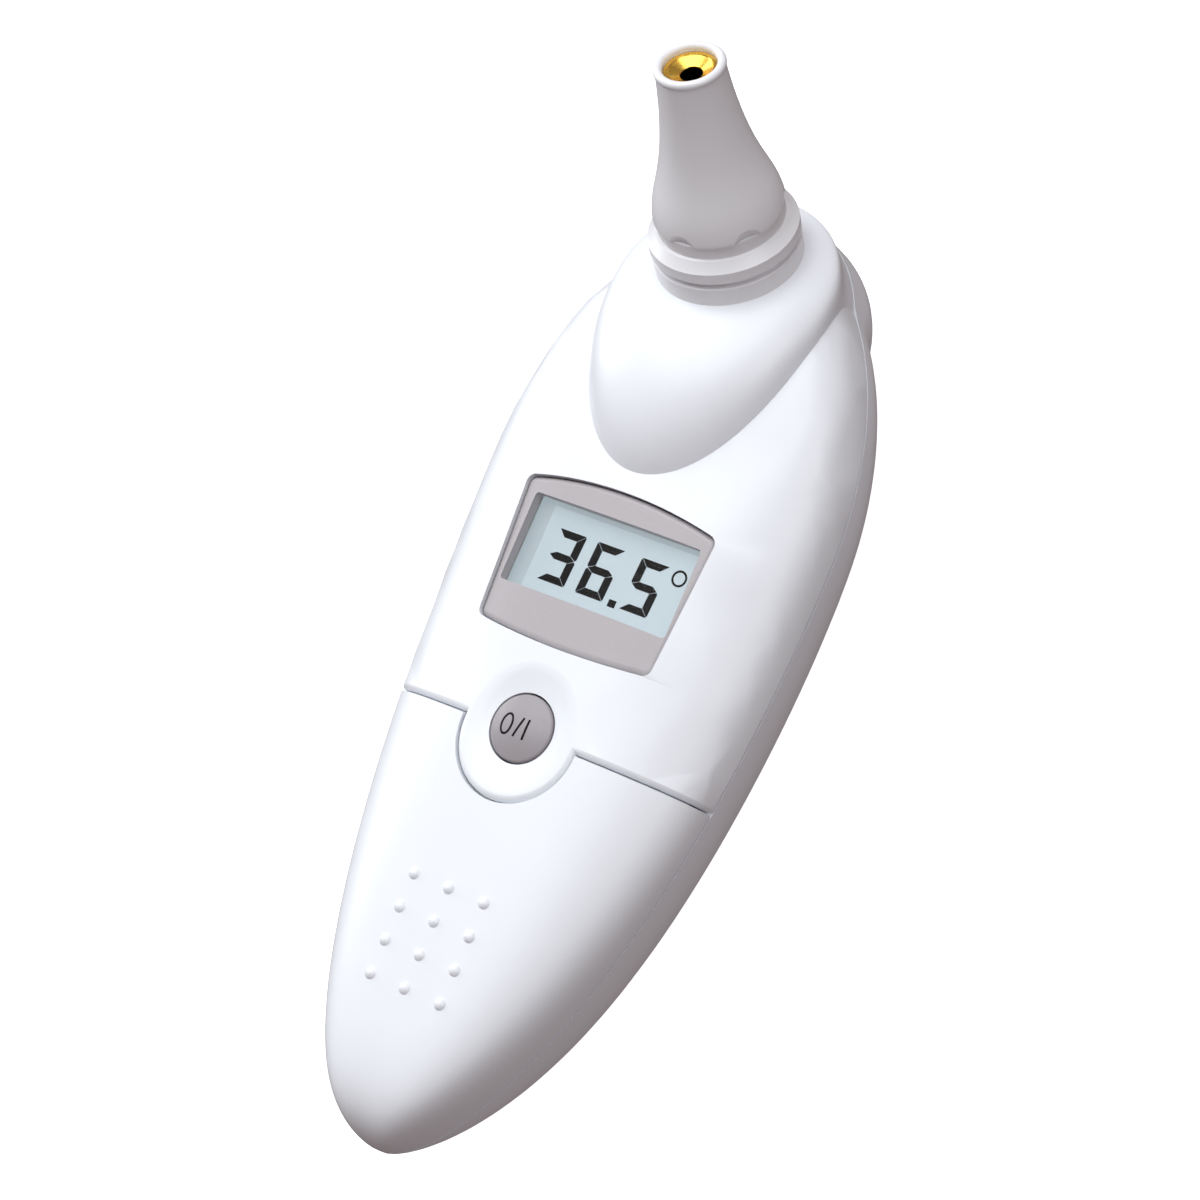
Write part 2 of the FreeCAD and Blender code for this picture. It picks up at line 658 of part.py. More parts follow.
def probe_cone():
    """Flared white probe: a thin shell with a rounded rim, scalloped where it meets the collar."""
    skin = [(STEP_R + 0.25, STEP_TOP + 0.35), (7.45, 9.9), (6.45, 13.0), (5.45, 16.6), (4.85, 19.8),
            (4.4, 23.2), (TIP_R + 0.05, TIP_S - 0.9)]
    rim_in = MOUTH_R + 0.08
    a = Vector(TIP_R + 0.05, 0, TIP_S - 0.9)
    b = Vector(rim_in, 0, TIP_S - 0.45)
    over = Part.Arc(a, Vector((TIP_R + rim_in) / 2 + 0.1, 0, TIP_S), b).toShape()
    bore_r, hollow_r, foot_r = GUIDE_R + 0.9, SEAT_R - 0.4, STEP_R + 0.25
    path = [b, Vector(rim_in, 0, MOUTH_S - 1.3), Vector(bore_r, 0, MOUTH_S - 1.3),
            Vector(bore_r, 0, 21.0), Vector(hollow_r, 0, 10.5), Vector(hollow_r, 0, STEP_TOP + 0.05),
            Vector(foot_r, 0, STEP_TOP + 0.05), Vector(foot_r, 0, STEP_TOP + 0.35)]
    edges = [cone_curve(skin), over] + [Part.makeLine(p, q) for p, q in zip(path, path[1:])]
    solid = Part.Face(Part.Wire(edges)).revolve(Vector(0, 0, 0), Vector(0, 0, 1), 360)
    for i in range(SCALLOPS):
        turn = 2 * math.pi * i / SCALLOPS + math.pi / 2
        away = Vector(math.cos(turn), math.sin(turn), 0)
        tool = Part.makeSphere(3.4, away * (STEP_R + 2.9) + Vector(0, 0, STEP_TOP - 0.6))
        solid = solid.cut(tool)
    return to_probe(solid)


def waveguide():
    return turned([(GUIDE_BORE_R, GUIDE_FOOT), (GUIDE_R, GUIDE_FOOT), (GUIDE_R, MOUTH_S - 1.2),
                   (MOUTH_R, MOUTH_S - 1.2), (MOUTH_R, MOUTH_S), (MOUTH_R - 0.45, MOUTH_S),
                   (MOUTH_R - 0.55, MOUTH_S - 0.1), (GUIDE_BORE_R + 0.1, MOUTH_S - 0.75),
                   (GUIDE_BORE_R, MOUTH_S - 0.9)])


def sensor_holder():
    return turned([(CAN_R + 0.05, 0.6), (SEAT_R - 0.1, 0.6), (SEAT_R - 0.1, 3.6), (SEAT_R - 0.8, 3.6),
                   (SEAT_R - 0.8, 4.8), (SEAT_R - 0.1, 4.8), (SEAT_R - 0.1, STEP_TOP - 0.3),
                   (SEAT_R - 0.8, STEP_TOP + 0.2), (SEAT_R - 0.8, 10.0), (4.0, 13.5),
                   (GUIDE_R + 0.04, 13.5), (GUIDE_R + 0.04, GUIDE_FOOT), (CAN_R + 0.05, GUIDE_FOOT)])


def seal_ring():
    ring = Part.makeTorus(SEAT_R - 0.42, 0.36, Vector(0, 0, 4.2))
    return to_probe(ring)


def sensor_can():
    return turned([(0, CAN_FOOT), (CAN_R, CAN_FOOT), (CAN_R, CAN_FOOT + 0.4), (CAN_R - 0.25, CAN_FOOT + 0.4),
                   (CAN_R - 0.25, GUIDE_FOOT - 0.5), (1.5, GUIDE_FOOT - 0.5), (1.5, GUIDE_FOOT - 0.8),
                   (0, GUIDE_FOOT - 0.8)])


def sensor_window():
    return probe_cylinder(1.45, GUIDE_FOOT - 0.8, GUIDE_FOOT - 0.45)


def four_rods(radius, s0, s1):
    """Rods along the probe's axis at the places of the sensor's leads."""
    places = []
    for i in range(4):
        turn = math.pi / 4 + math.pi / 2 * i
        places.append(Vector(PIN_CIRCLE_R * math.cos(turn), PIN_CIRCLE_R * math.sin(turn), s0))
    return [to_probe(Part.makeCylinder(radius, s1 - s0, place)) for place in places]


def sensor_pins():
    return Part.makeCompound(four_rods(0.22, -1.9, CAN_FOOT))


def sensor_board():
    return cut_all(probe_cylinder(5.6, -1.6, -0.8), four_rods(0.3, -2, 0))


def sensor_clamp():
    """Ring that holds the sensor board against the metal block."""
    return turned([(4.6, -0.8), (5.8, -0.8), (5.8, 0.6), (4.6, 0.6)])


def sensor_flex():
    """Flat cable from the sensor board down to the circuit board."""
    start = on_probe(-2.5, -5.0, -1.75)
    under = [start + Vector(0, 3.0, -1.75), start, Vector(-2.5, BOARD_HEAD_Y - 1.0, BOARD_TOP_Z + 1.2),
             Vector(-2.5, BOARD_HEAD_Y - 4.0, BOARD_TOP_Z)]
    slanted, level = Vector(0, -0.09, 0.18), Vector(0, 0, 0.2)
    over = [under[0] + slanted, under[1] + slanted, under[2] + level, under[3] + level]
    loop = under + over[::-1]
    return Part.Face(Part.makePolygon(loop + [loop[0]])).extrude(Vector(5, 0, 0))


# ---------- screws ----------

def screw(x, y, head_z, tip_z):
    """Pan-head screw with a cross recess; the head lies at head_z and the shank ends at tip_z."""
    sign = 1.0 if tip_z > head_z else -1.0
    head = Part.makeCylinder(SCREW_HEAD_R, 1.3, Vector(x, y, head_z), Vector(0, 0, sign))
    shank = Part.makeCylinder(SCREW_R - 0.03, abs(tip_z - head_z), Vector(x, y, head_z), Vector(0, 0, sign))
    low, high = sorted((head_z - sign * 0.1, head_z + sign * 0.8))
    cross = box(x - 1.2, x + 1.2, y - 0.25, y + 0.25, low, high)
    cross = cross.fuse(box(x - 0.25, x + 0.25, y - 1.2, y + 1.2, low, high))
    return head.fuse(shank).cut(cross).removeSplitter()


def screws(places, head_z, tip_z):
    return Part.makeCompound([screw(x, y, head_z, tip_z) for x, y in places])


# ---------- assembly ----------

front_outer, front_inner = front_solid(0), front_solid(WALL)
rear_outer, rear_inner = blended_rear(), rear_solid(WALL)

PARTS = {
    "front_housing": front_housing(front_outer, front_inner),
    "battery_cover": battery_cover(front_outer, front_inner),
    "rear_housing": rear_housing(rear_outer, rear_inner),
    "display_bezel": display_bezel(),
    "display_lens": display_lens(),
    "lcd_panel": lcd_panel(),
    "lcd_holder": lcd_holder(),
    "zebra_strip": zebra_strip(),
    "circuit_board": circuit_board(),
    "processor_chip": processor_chip(),
    "buzzer": buzzer(),
    "power_button": power_button(),
    "power_switch": tact_switch(BUTTON_Y, BOARD_TOP_Z, 1),
    "scan_button": scan_button(rear_outer),
    "scan_switch": tact_switch(SCAN_Y, BOARD_TOP_Z - BOARD_THICK, -1),
    "battery_tray": battery_tray(),
    "coin_cell": coin_cell(),
    "contact_positive": contact_positive(),
    "contact_negative": contact_negative(),
    "collar_ring": collar_ring(),
    "probe_flange": probe_flange(),
    "probe_cone": probe_cone(),
    "waveguide": waveguide(),
    "sensor_holder": sensor_holder(),
    "seal_ring": seal_ring(),
    "sensor_can": sensor_can(),
    "sensor_window": sensor_window(),
    "sensor_pins": sensor_pins(),
    "sensor_board": sensor_board(),
    "sensor_clamp": sensor_clamp(),
    "sensor_flex": sensor_flex(),
    "back_screws": screws(BACK_SCREWS, REST_Z + 2.7, 7.0),
    "tray_screws": screws(TRAY_SCREWS, 1.3, -8.0),
    "board_screws": screws(BOARD_SCREWS, BOARD_TOP_Z + 1.3, -6.0),
}

whole_box = Part.makeCompound(list(PARTS.values())).optimalBoundingBox(False)
SHIFT = Vector(-whole_box.Center.x, -whole_box.Center.y, -whole_box.ZMin)

for name, shape in PARTS.items():
    placed = shape.translated(SHIFT)
    placed.exportStep("parts/%s.step" % name)
    print("%-18s solids %d valid %s volume %.1f" % (name, len(shape.Solids), shape.isValid(), shape.Volume))
print("shift %.3f %.3f %.3f" % (SHIFT.x, SHIFT.y, SHIFT.z))
print("size %.2f %.2f %.2f" % (whole_box.XLength, whole_box.YLength, whole_box.ZLength))
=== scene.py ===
import math
import bpy
import bmesh
from mathutils import Matrix, Vector


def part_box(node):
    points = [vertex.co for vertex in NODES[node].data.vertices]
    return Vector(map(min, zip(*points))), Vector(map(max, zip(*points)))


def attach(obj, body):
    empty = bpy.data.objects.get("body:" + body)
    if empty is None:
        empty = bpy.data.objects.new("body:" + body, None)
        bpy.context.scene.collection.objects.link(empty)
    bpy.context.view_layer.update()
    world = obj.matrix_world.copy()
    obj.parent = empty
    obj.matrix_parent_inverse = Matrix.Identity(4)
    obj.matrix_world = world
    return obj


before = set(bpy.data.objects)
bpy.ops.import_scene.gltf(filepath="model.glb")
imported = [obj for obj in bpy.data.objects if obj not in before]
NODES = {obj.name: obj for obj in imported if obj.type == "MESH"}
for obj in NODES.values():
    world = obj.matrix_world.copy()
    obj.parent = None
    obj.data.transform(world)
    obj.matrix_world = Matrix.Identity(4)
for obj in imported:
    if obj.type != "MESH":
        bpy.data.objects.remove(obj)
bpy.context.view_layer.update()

# Digital ear thermometer lying on its back. Metres: x right, y to the head, z out of the front face.
MM = 0.001


# ---------- places taken from the model ----------

def middle(node):
    low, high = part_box(node)
    return (low + high) / 2


BUTTON = middle("power_button")
BUTTON_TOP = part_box("power_button")[1].z
BUTTON_DOME_R = 12.0 * MM
BUTTON_SETBACK = 0.7 * MM
PARTING_HEIGHT = 13.0 * MM
LCD_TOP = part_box("lcd_panel")[1].z

# On the parting plane, just headward of the power button's middle.
AIM = Vector((BUTTON.x, BUTTON.y + BUTTON_SETBACK, PARTING_HEIGHT))

PROBE_FOOT = AIM + Vector((0.0, 59.9, 9.8)) * MM
PROBE_TILT = math.radians(59.9)
PROBE_AXIS = Vector((0.0, math.cos(PROBE_TILT), math.sin(PROBE_TILT)))
# Radius and soft edge of the part of the bore, round the probe's axis, that is painted near-black as
# painted shade.
BORE_SHADE_R = 1.3 * MM
BORE_SHADE_EDGE = 0.06 * MM

# The camera stands over the front, spun to the right side, tipped towards the tail and then turned in
# the picture. The shift is how far AIM lies from the picture's middle, before that turn.
CAMERA_SPIN = math.radians(31.3)
CAMERA_LIFT = math.radians(6.45)
CAMERA_ROLL = math.radians(0.62)
PICTURE_TURN = math.radians(-21.0)
CAMERA_SHIFT = Vector((1.835, -17.412, 0.0)) * MM
CAMERA_DISTANCE = 450.0 * MM
CAMERA_LENS = 114.75
FILM_WIDTH = 36.0


# ---------- camera ----------

def turn_z(angle):
    return Matrix.Rotation(angle, 3, "Z")


def view_axes():
    """Rows: the camera's right, up and backward directions."""
    sin_spin = math.sin(CAMERA_SPIN)
    sin_lift, cos_lift = math.sin(CAMERA_LIFT), math.cos(CAMERA_LIFT)
    right = Vector((math.cos(CAMERA_SPIN), sin_spin * sin_lift, -sin_spin * cos_lift))
    up = Vector((0.0, cos_lift, sin_lift))
    return turn_z(CAMERA_ROLL + PICTURE_TURN) @ Matrix((right, up, right.cross(up)))


def make_camera():
    axes = view_axes()
    shift = turn_z(PICTURE_TURN) @ CAMERA_SHIFT
    place = axes.transposed() @ Vector((-shift.x, -shift.y, CAMERA_DISTANCE))
    data = bpy.data.cameras.new("camera")
    data.lens = CAMERA_LENS
    data.sensor_width = FILM_WIDTH
    data.clip_start = 10.0 * MM
    camera = bpy.data.objects.new("camera", data)
    camera.matrix_world = Matrix.Translation(AIM + place) @ axes.transposed().to_4x4()
    bpy.context.scene.collection.objects.link(camera)
    bpy.context.scene.camera = camera


# ---------- node helpers ----------

class Sheet:
    """A small wrapper round one material's nodes."""

    def __init__(self, name, color, roughness, metallic=0.0):
        self.material = bpy.data.materials.new(name)
        self.material.use_nodes = True
        self.nodes = self.material.node_tree.nodes
        self.links = self.material.node_tree.links
        self.shader = self.nodes["Principled BSDF"]
        self.color = color
        self.set("Base Color", (*color, 1.0))
        self.set("Roughness", roughness)
        self.set("Metallic", metallic)
        self.where = self.nodes.new("ShaderNodeTexCoord").outputs["Object"]

    def set(self, socket, value):
        self.shader.inputs[socket].default_value = value
        return self

    def noise(self, size_mm, detail=3.0, stretch=None):
        """Noise whose features are about size_mm across."""
        texture = self.nodes.new("ShaderNodeTexNoise")
        texture.inputs["Scale"].default_value = 1.0 / (size_mm * MM)
        texture.inputs["Detail"].default_value = detail
        place = self.where
        if stretch:
            mapping = self.nodes.new("ShaderNodeMapping")
            mapping.inputs["Scale"].default_value = stretch
            self.links.new(place, mapping.inputs["Vector"])
            place = mapping.outputs["Vector"]
        self.links.new(place, texture.inputs["Vector"])
        return texture.outputs["Fac"]

    def ramp(self, source, low, high, start=0.3, end=0.7):
        node = self.nodes.new("ShaderNodeMapRange")
        node.inputs["From Min"].default_value = start
        node.inputs["From Max"].default_value = end
        node.inputs["To Min"].default_value = low
        node.inputs["To Max"].default_value = high
        self.links.new(source, node.inputs["Value"])
        return node.outputs["Result"]

    def mix(self, source, first, second):
        node = self.nodes.new("ShaderNodeMix")
        node.data_type = "RGBA"
        node.inputs["A"].default_value = (*first, 1.0)
        node.inputs["B"].default_value = (*second, 1.0)
        self.links.new(source, node.inputs["Factor"])
        return node.outputs["Result"]

    def vector_math(self, operation, source, other):
        node = self.nodes.new("ShaderNodeVectorMath")
        node.operation = operation
        self.links.new(source, node.inputs[0])
        node.inputs[1].default_value = other
        return node.outputs["Value" if operation == "LENGTH" else "Vector"]

    def shade(self, size_mm, spread, stretch=None):
        """Lets the base colour wander by spread."""
        first = tuple(c * (1.0 - spread) for c in self.color)
        second = tuple(min(1.0, c * (1.0 + spread)) for c in self.color)
        wander = self.ramp(self.noise(size_mm, 2.0, stretch), 0.0, 1.0)
        self.links.new(self.mix(wander, first, second), self.shader.inputs["Base Color"])
        return self

    def polish(self, size_mm, low, high, stretch=None):
        roughness = self.ramp(self.noise(size_mm, 3.0, stretch), low, high)
        self.links.new(roughness, self.shader.inputs["Roughness"])
        return self

    def bump(self, size_mm, height_mm, stretch=None, detail=2.0):
        node = self.nodes.new("ShaderNodeBump")
        node.inputs["Strength"].default_value = 1.0
        node.inputs["Distance"].default_value = height_mm * MM
        self.links.new(self.noise(size_mm, detail, stretch), node.inputs["Height"])
        self.links.new(node.outputs["Normal"], self.shader.inputs["Normal"])
        return self


def shell_plastic(name, color, low, high):
    """Moulded white plastic: a faint orange-peel skin and slightly uneven polish."""
    sheet = Sheet(name, color, (low + high) / 2)
    sheet.shade(14.0, 0.008).polish(3.0, low, high).bump(0.55, 0.0022)
    return sheet.set("Coat Weight", 0.12).set("Coat Roughness", 0.18).material


def satin_paint(name, color, spread, low, high):
    """Satin painted plastic with very fine metallic grain."""
    sheet = Sheet(name, color, (low + high) / 2)
    sheet.shade(0.22, spread).polish(1.2, low, high).bump(0.16, 0.0018)
    return sheet.material


def plain_plastic(name, color, low=0.4, high=0.55):
    sheet = Sheet(name, color, (low + high) / 2)
    return sheet.shade(2.5, 0.03).polish(1.5, low, high).bump(0.25, 0.002).material


def brushed_metal(name, color, low, high, stretch):
    sheet = Sheet(name, color, (low + high) / 2, 1.0)
    sheet.shade(0.4, 0.05, stretch).polish(0.5, low, high, stretch).bump(0.3, 0.001, stretch)
    return sheet.material


def gold_plate():
    """Polished gold; the narrow bore near the probe's axis is painted near-black, painted shade for the
    deep hole.
    """
    sheet = Sheet("polished_gold", (0.95, 0.60, 0.10), 0.3, 0.9)
    sheet.polish(0.5, 0.2, 0.34).bump(0.35, 0.0008)
    offset = sheet.vector_math("SUBTRACT", sheet.where, PROBE_FOOT)
    across = sheet.vector_math("CROSS_PRODUCT", offset, PROBE_AXIS)
    distance = sheet.vector_math("LENGTH", across, (0, 0, 0))
    # Painted shade: the bore is coloured near-black instead of gold.
    bore_shade = sheet.ramp(distance, 0.0, 1.0, BORE_SHADE_R, BORE_SHADE_R + BORE_SHADE_EDGE)
    color = sheet.mix(bore_shade, (0.012, 0.009, 0.006), sheet.color)
    sheet.links.new(color, sheet.shader.inputs["Base Color"])
    return sheet.material


def black_rubber(name, color):
    sheet = Sheet(name, color, 0.7)
    return sheet.shade(0.6, 0.1).polish(0.8, 0.6, 0.8).bump(0.12, 0.004).material


def window_plastic():
    """Clear display window."""
    sheet = Sheet("display_window", (0.20, 0.24, 0.26), 0.06)
    sheet.polish(4.0, 0.04, 0.09).bump(6.0, 0.0006)
    return sheet.set("Alpha", 0.025).material


def lcd_cell_painted_glow(name="lcd_cell_painted_glow", base=(0.16, 0.18, 0.195), glow=0.76):
    """Grey-green liquid crystal cell with very fine grain; its emission is painted light that lifts and
    evens out its shading.
    """
    sheet = Sheet(name, base, 0.42)
    # Painted light: the cell glows so its shading stays light and even.
    sheet.set("Emission Color", (0.52, 0.62, 0.67, 1.0)).set("Emission Strength", glow)
    return sheet.shade(0.12, 0.025).polish(0.6, 0.35, 0.5).bump(0.1, 0.0006).material


def lcd_ink():
    sheet = Sheet("lcd_ink", (0.008, 0.005, 0.004), 0.4).set("Specular IOR Level", 0.05)
    return sheet.shade(0.3, 0.15).polish(0.5, 0.35, 0.5).bump(0.1, 0.0004).material


def printed_ink():
    sheet = Sheet("printed_ink", (0.010, 0.008, 0.008), 0.45).set("Specular IOR Level", 0.08)
    return sheet.shade(0.3, 0.15).polish(0.4, 0.4, 0.6).bump(0.08, 0.0008).material


def board_laminate(name):
    """Green solder mask over long, fine copper tracks."""
    sheet = Sheet(name, (0.02, 0.16, 0.07), 0.35)
    bricks = sheet.nodes.new("ShaderNodeTexBrick")
    bricks.inputs["Scale"].default_value = 1.0 / MM
    bricks.inputs["Brick Width"].default_value = 17.0
    bricks.inputs["Row Height"].default_value = 0.75
    bricks.inputs["Mortar Size"].default_value = 0.09
    bricks.inputs["Color1"].default_value = (0.02, 0.16, 0.07, 1.0)
    bricks.inputs["Color2"].default_value = (0.022, 0.175, 0.075, 1.0)
    bricks.inputs["Mortar"].default_value = (0.032, 0.22, 0.10, 1.0)
    sheet.links.new(sheet.where, bricks.inputs["Vector"])
    sheet.links.new(bricks.outputs["Color"], sheet.shader.inputs["Base Color"])
    return sheet.polish(1.0, 0.28, 0.4).bump(0.3, 0.002).material


# ---------- materials on the model's own pieces ----------

def paint(material, *names):
    for name in names:
        mesh = NODES[name].data
        mesh.materials.clear()
        mesh.materials.append(material)


def paint_model():
    white = shell_plastic("shell_white", (0.88, 0.905, 0.94), 0.34, 0.42)
    paint(white, "front_housing", "battery_cover", "rear_housing")
    probe_white = shell_plastic("probe_white", (0.86, 0.86, 0.88), 0.3, 0.38)
    paint(probe_white, "collar_ring", "probe_flange", "probe_cone")
    paint(satin_paint("bezel_silver", (0.46, 0.432, 0.443), 0.03, 0.36, 0.46), "display_bezel")
    paint(satin_paint("button_grey", (0.35, 0.325, 0.34), 0.02, 0.36, 0.46), "power_button", "scan_button")
    paint(window_plastic(), "display_lens")
    paint(lcd_cell_painted_glow(), "lcd_panel")
    paint(plain_plastic("natural_plastic", (0.78, 0.78, 0.74)), "lcd_holder", "sensor_clamp")
    paint(plain_plastic("tray_grey", (0.62, 0.64, 0.66)), "battery_tray")
    paint(black_rubber("connector_rubber", (0.55, 0.22, 0.26)), "zebra_strip")
    paint(black_rubber("seal_rubber", (0.02, 0.02, 0.02)), "seal_ring")
    paint(board_laminate("board_green"), "circuit_board", "sensor_board")
    paint(plain_plastic("chip_black", (0.015, 0.015, 0.017), 0.45, 0.6), "processor_chip", "buzzer")
    paint(plain_plastic("switch_black", (0.02, 0.02, 0.022), 0.35, 0.5), "power_switch", "scan_switch")
    paint(brushed_metal("cell_steel", (0.66, 0.66, 0.65), 0.27, 0.33, (8.0, 0.5, 1.0)), "coin_cell")
    paint(brushed_metal("contact_nickel", (0.72, 0.70, 0.66), 0.25, 0.4, (1.0, 8.0, 1.0)),
          "contact_positive", "contact_negative")
    paint(brushed_metal("screw_steel", (0.55, 0.55, 0.56), 0.25, 0.4, (1.0, 1.0, 6.0)),
          "back_screws", "tray_screws", "board_screws")
    paint(brushed_metal("block_metal", (0.62, 0.62, 0.63), 0.25, 0.4, (6.0, 1.0, 1.0)), "sensor_holder")
    paint(brushed_metal("can_steel", (0.75, 0.75, 0.75), 0.12, 0.22, (1.0, 1.0, 1.0)), "sensor_can")
    paint(gold_plate(), "waveguide")
    paint(brushed_metal("pin_gold", (0.95, 0.62, 0.15), 0.2, 0.34, (1.0, 1.0, 1.0)), "sensor_pins")
    paint(plain_plastic("sensor_filter", (0.03, 0.02, 0.03), 0.08, 0.15), "sensor_window")
    paint(plain_plastic("flex_amber", (0.60, 0.25, 0.04), 0.3, 0.42), "sensor_flex")


# ---------- lettering, and the display's painted shadow ---

def flat_piece(name, outlines, height, thickness, material):
    """Thin plates with the given outlines (lists of x, y); height(x, y) is where their undersides lie."""
    mesh = bpy.data.meshes.new(name)
    form = bmesh.new()
    for outline in outlines:
        low = [form.verts.new((x, y, height(x, y))) for x, y in outline]
        high = [form.verts.new((x, y, height(x, y) + thickness)) for x, y in outline]
        count = len(outline)
        form.faces.new(list(reversed(low)))
        form.faces.new(high)
        for i in range(count):
            j = (i + 1) % count
            form.faces.new((low[i], low[j], high[j], high[i]))
    bmesh.ops.recalc_face_normals(form, faces=form.faces)
    form.to_mesh(mesh)
    form.free()
    mesh.materials.append(material)
    piece = bpy.data.objects.new(name, mesh)
    bpy.context.scene.collection.objects.link(piece)
    return piece


# Everything from here to FILM is in millimetres, and places are given from AIM.
DIGIT_SEGMENTS = {"3": "abgcd", "6": "afgedc", "5": "afgcd"}
DIGIT_PLACES = {"3": -6.22, "6": -0.62, "5": 5.77}
DIGIT_HALF_WIDTH = 1.98
DIGIT_HALF_HEIGHT = 3.27
STROKE_X = 1.05
STROKE_Y = 0.90
SEGMENT_GAP = 0.07
DIGIT_LEAN = 0.04
READING_Y = 19.92
POINT_X = 2.58
POINT_HALF_WIDTH = 0.52
POINT_HEIGHT = 0.90
POINT_DROP = 0.25
DEGREE_X = 9.6
DEGREE_Y = 22.3
DEGREE_R = 1.02
INK_LINE = 0.27

# The painted shadow's outer limits, and where it ends towards the reading.
SHADOW_LEFT, SHADOW_RIGHT = -11.95, 12.3
SHADOW_FOOT, SHADOW_TOP = 14.2, 26.3
SHADOW_INNER_X, SHADOW_INNER_Y = -9.9, 25.5

# The button's mark: an oval (middle and two radii) and two strokes (from, to).
MARK_OVAL = (-1.72, -0.80, 0.86, 1.36)
MARK_SLASH = (-0.30, -1.98, 0.30, 0.50)
MARK_BAR = (1.02, -2.00, 1.02, 0.52)

# Thickness of the printed marks and of the painted shadow sheet, and their gap over the display cell, in
# metres.
FILM = 0.02 * MM
FILM_GAP = 0.01 * MM


def segment_outline(letter):
    """One segment of a seven-segment digit, about the digit's middle, before it leans."""
    w, h, tx, ty, g = DIGIT_HALF_WIDTH, DIGIT_HALF_HEIGHT, STROKE_X, STROKE_Y, SEGMENT_GAP
    if letter in "ad":
        side = 1.0 if letter == "a" else -1.0
        outer, inner = side * h, side * (h - ty)
        return [(-w + g, outer), (w - g, outer), (w - tx, inner), (-w + tx, inner)]
    if letter == "g":
        tip, flat = w - 0.2 * tx, w - 0.95 * tx
        return [(-tip, 0), (-flat, ty / 2), (flat, ty / 2), (tip, 0), (flat, -ty / 2), (-flat, -ty / 2)]
    side_x = 1.0 if letter in "bc" else -1.0
    side_y = 1.0 if letter in "bf" else -1.0
    corners = [(w, h - g - 0.15 * ty), (w, 0.3 * ty), (w - 0.17 * tx, g), (w - tx, ty / 2 + g),
               (w - tx, h - ty - g), (w - 0.12 * tx, h - 1.6 * g)]
    return [(side_x * x, side_y * y) for x, y in corners]


def ring_outlines(x, y, radius_x, radius_y, width, count=40):
    """A round or oval line as short four-cornered plates, all in millimetres."""
    plates = []
    for i in range(count):
        corners = []
        for grow, step in ((-width, 0), (-width, 1), (0, 1), (0, 0)):
            a = 2 * math.pi * (i + step) / count
            corners.append((x + (radius_x + grow) * math.cos(a), y + (radius_y + grow) * math.sin(a)))
        plates.append(corners)
    return plates


def stroke_outlines(x0, y0, x1, y1, width, count=6):
    """A straight line as short four-cornered plates, all in millimetres."""
    run = Vector((x1 - x0, y1 - y0)) / count
    side = Vector((-run.y, run.x)).normalized() * width / 2
    plates = []
    for i in range(count):
        start = Vector((x0, y0)) + run * i
        end = start + run
        plates.append([tuple(start - side), tuple(end - side), tuple(end + side), tuple(start + side)])
    return plates


def place(outlines):
    return [[(AIM.x + x * MM, AIM.y + y * MM) for x, y in outline] for outline in outlines]


def rectangle(x0, x1, y0, y1):
    return [(x0, y0), (x1, y0), (x1, y1), (x0, y1)]


def display_height(x, y):
    """Height just over the display cell, the same everywhere on it."""
    return LCD_TOP + FILM_GAP


def make_painted_shadow():
    """Painted shadow: a darker, dimmer sheet of the display cell's material along the left and upper edges
    of the display, where the window's walls shade the cell.
    """
    outlines = [rectangle(SHADOW_LEFT, SHADOW_INNER_X, SHADOW_FOOT, SHADOW_INNER_Y),
                rectangle(SHADOW_LEFT, SHADOW_RIGHT, SHADOW_INNER_Y, SHADOW_TOP)]
    # A darker copy of the cell's material with weaker glow: painted shadow.
    shadow_material = lcd_cell_painted_glow("lcd_painted_shadow", (0.15, 0.16, 0.17), 0.62)
    margin = flat_piece("lcd_painted_shadow", place(outlines), display_height, FILM, shadow_material)
    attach(margin, "handset")


def make_reading():
    """The temperature on the display."""
    outlines = []
    for text, middle_x in DIGIT_PLACES.items():
        for letter in DIGIT_SEGMENTS[text]:
            outline = segment_outline(letter)
            outlines.append([(middle_x + x + DIGIT_LEAN * y, READING_Y + y) for x, y in outline])
    foot = READING_Y - DIGIT_HALF_HEIGHT - POINT_DROP
    outlines.append(rectangle(POINT_X - POINT_HALF_WIDTH, POINT_X + POINT_HALF_WIDTH,
                              foot, foot + POINT_HEIGHT))
    outlines += ring_outlines(DEGREE_X, DEGREE_Y, DEGREE_R, DEGREE_R, INK_LINE)
    reading = flat_piece("lcd_reading", place(outlines), display_height, 1.5 * FILM, lcd_ink())
    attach(reading, "handset")


def dome_height(x, y):
    """Height of the power button's domed top."""
    flat = (x - BUTTON.x) ** 2 + (y - BUTTON.y) ** 2
    return BUTTON_TOP - BUTTON_DOME_R + math.sqrt(BUTTON_DOME_R ** 2 - flat)


def make_symbol():
    """The on and off mark printed on the power button."""
    outlines = ring_outlines(*MARK_OVAL, INK_LINE)
    outlines += stroke_outlines(*MARK_SLASH, INK_LINE)
    outlines += stroke_outlines(*MARK_BAR, INK_LINE)
    symbol = flat_piece("button_symbol", place(outlines), dome_height, FILM, printed_ink())
    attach(symbol, "power_button")


# ---------- studio ----------

FLOOR_REACH = 4.0
LIGHT_DISTANCE = 0.9
LIGHT_TARGET = AIM + Vector((0.0, 10.0, 0.0)) * MM
SURROUND_COLOR = (0.200, 0.162, 0.162, 1.0)


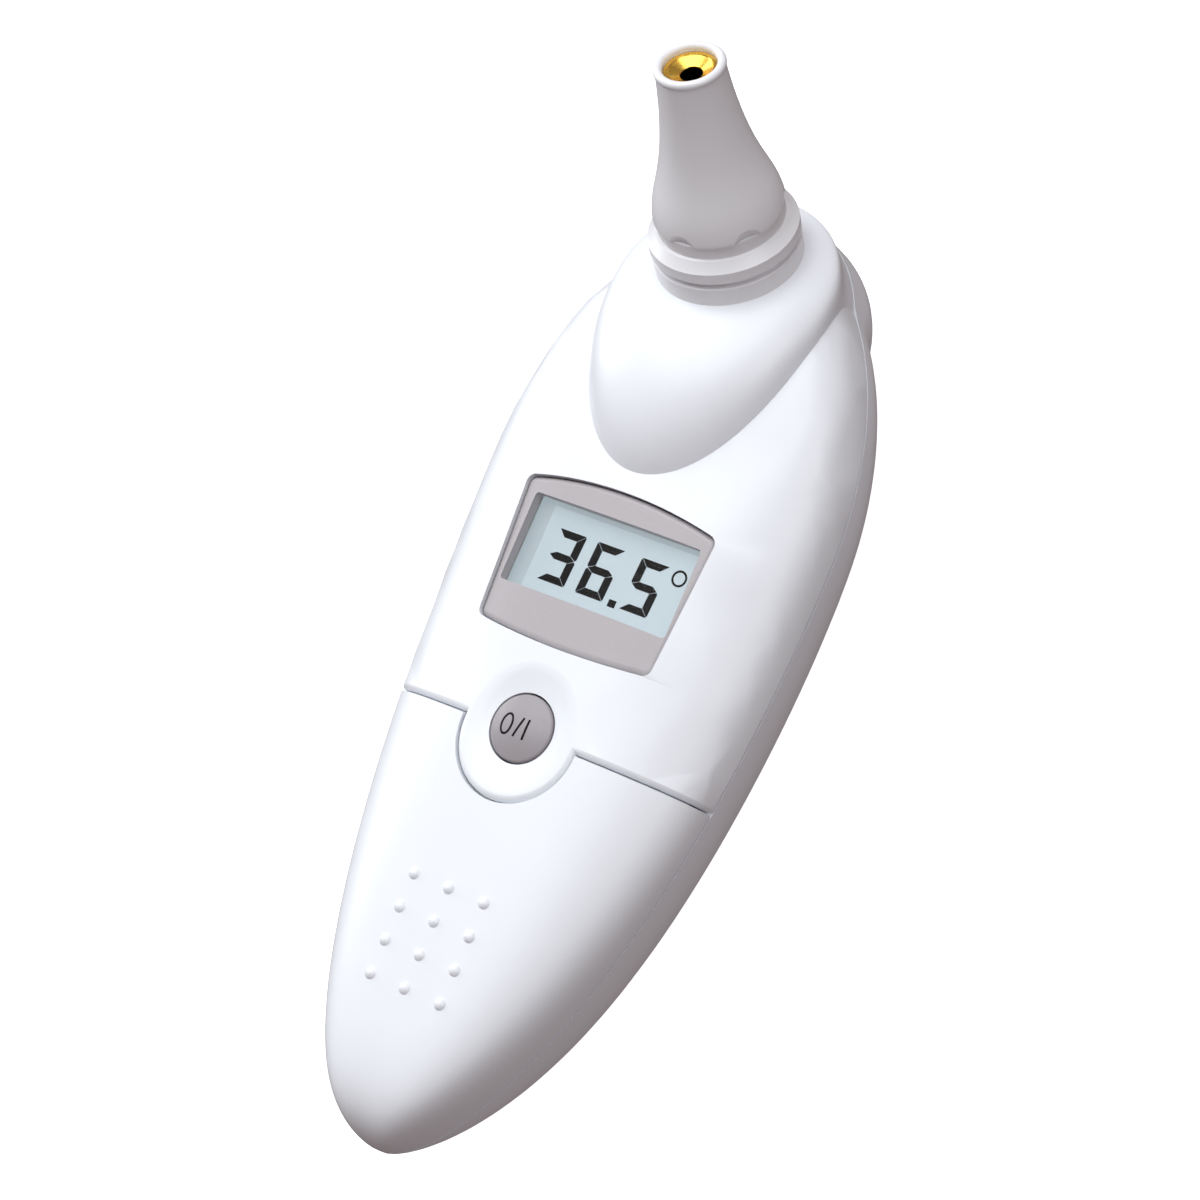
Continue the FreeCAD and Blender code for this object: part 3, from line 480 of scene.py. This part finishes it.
def area_light(name, direction, size, power, color):
    """A soft round light that shines at the thermometer from the given direction."""
    data = bpy.data.lights.new(name, "AREA")
    data.shape = "DISK"
    data.size = size
    data.energy = power
    data.color = color
    lamp = bpy.data.objects.new(name, data)
    lamp.location = LIGHT_TARGET + direction.normalized() * LIGHT_DISTANCE
    lamp.rotation_euler = direction.to_track_quat("Z", "Y").to_euler()
    bpy.context.scene.collection.objects.link(lamp)


def studio_piece(name, form, base, glow):
    """A white piece of the studio that throws no light on the thermometer."""
    mesh = bpy.data.meshes.new(name)
    form.to_mesh(mesh)
    form.free()
    piece = bpy.data.objects.new(name, mesh)
    sheet = Sheet(name + "_white", (base, base, base), 0.6)
    sheet.shade(40.0, 0.004)
    sheet.set("Emission Color", (1.0, 1.0, 1.0, 1.0)).set("Emission Strength", glow)
    mesh.materials.append(sheet.material)
    piece.visible_diffuse = False
    piece.visible_glossy = False
    piece.visible_shadow = False
    bpy.context.scene.collection.objects.link(piece)


def make_stage():
    form = bmesh.new()
    bmesh.ops.create_grid(form, x_segments=2, y_segments=2, size=FLOOR_REACH)
    studio_piece("floor", form, 0.92, 0.8)
    form = bmesh.new()
    bmesh.ops.create_uvsphere(form, u_segments=48, v_segments=24, radius=FLOOR_REACH)
    studio_piece("backdrop", form, 0.2, 1.0)


def make_lights():
    area_light("key", Vector((-0.14, 0.44, 0.885)), 1.0, 8.0, (0.925, 0.97, 1.0))
    area_light("left", Vector((-0.93, 0.20, 0.30)), 0.6, 3.7, (0.92, 0.965, 1.0))
    area_light("right", Vector((0.75, 0.20, 0.63)), 0.5, 1.6, (0.94, 0.97, 1.0))
    world = bpy.data.worlds.new("studio")
    world.use_nodes = True
    background = world.node_tree.nodes["Background"]
    background.inputs["Color"].default_value = SURROUND_COLOR
    background.inputs["Strength"].default_value = 1.0
    bpy.context.scene.world = world
    bpy.context.scene.view_settings.view_transform = "Standard"


make_camera()
paint_model()
make_painted_shadow()
make_reading()
make_symbol()
make_stage()
make_lights()
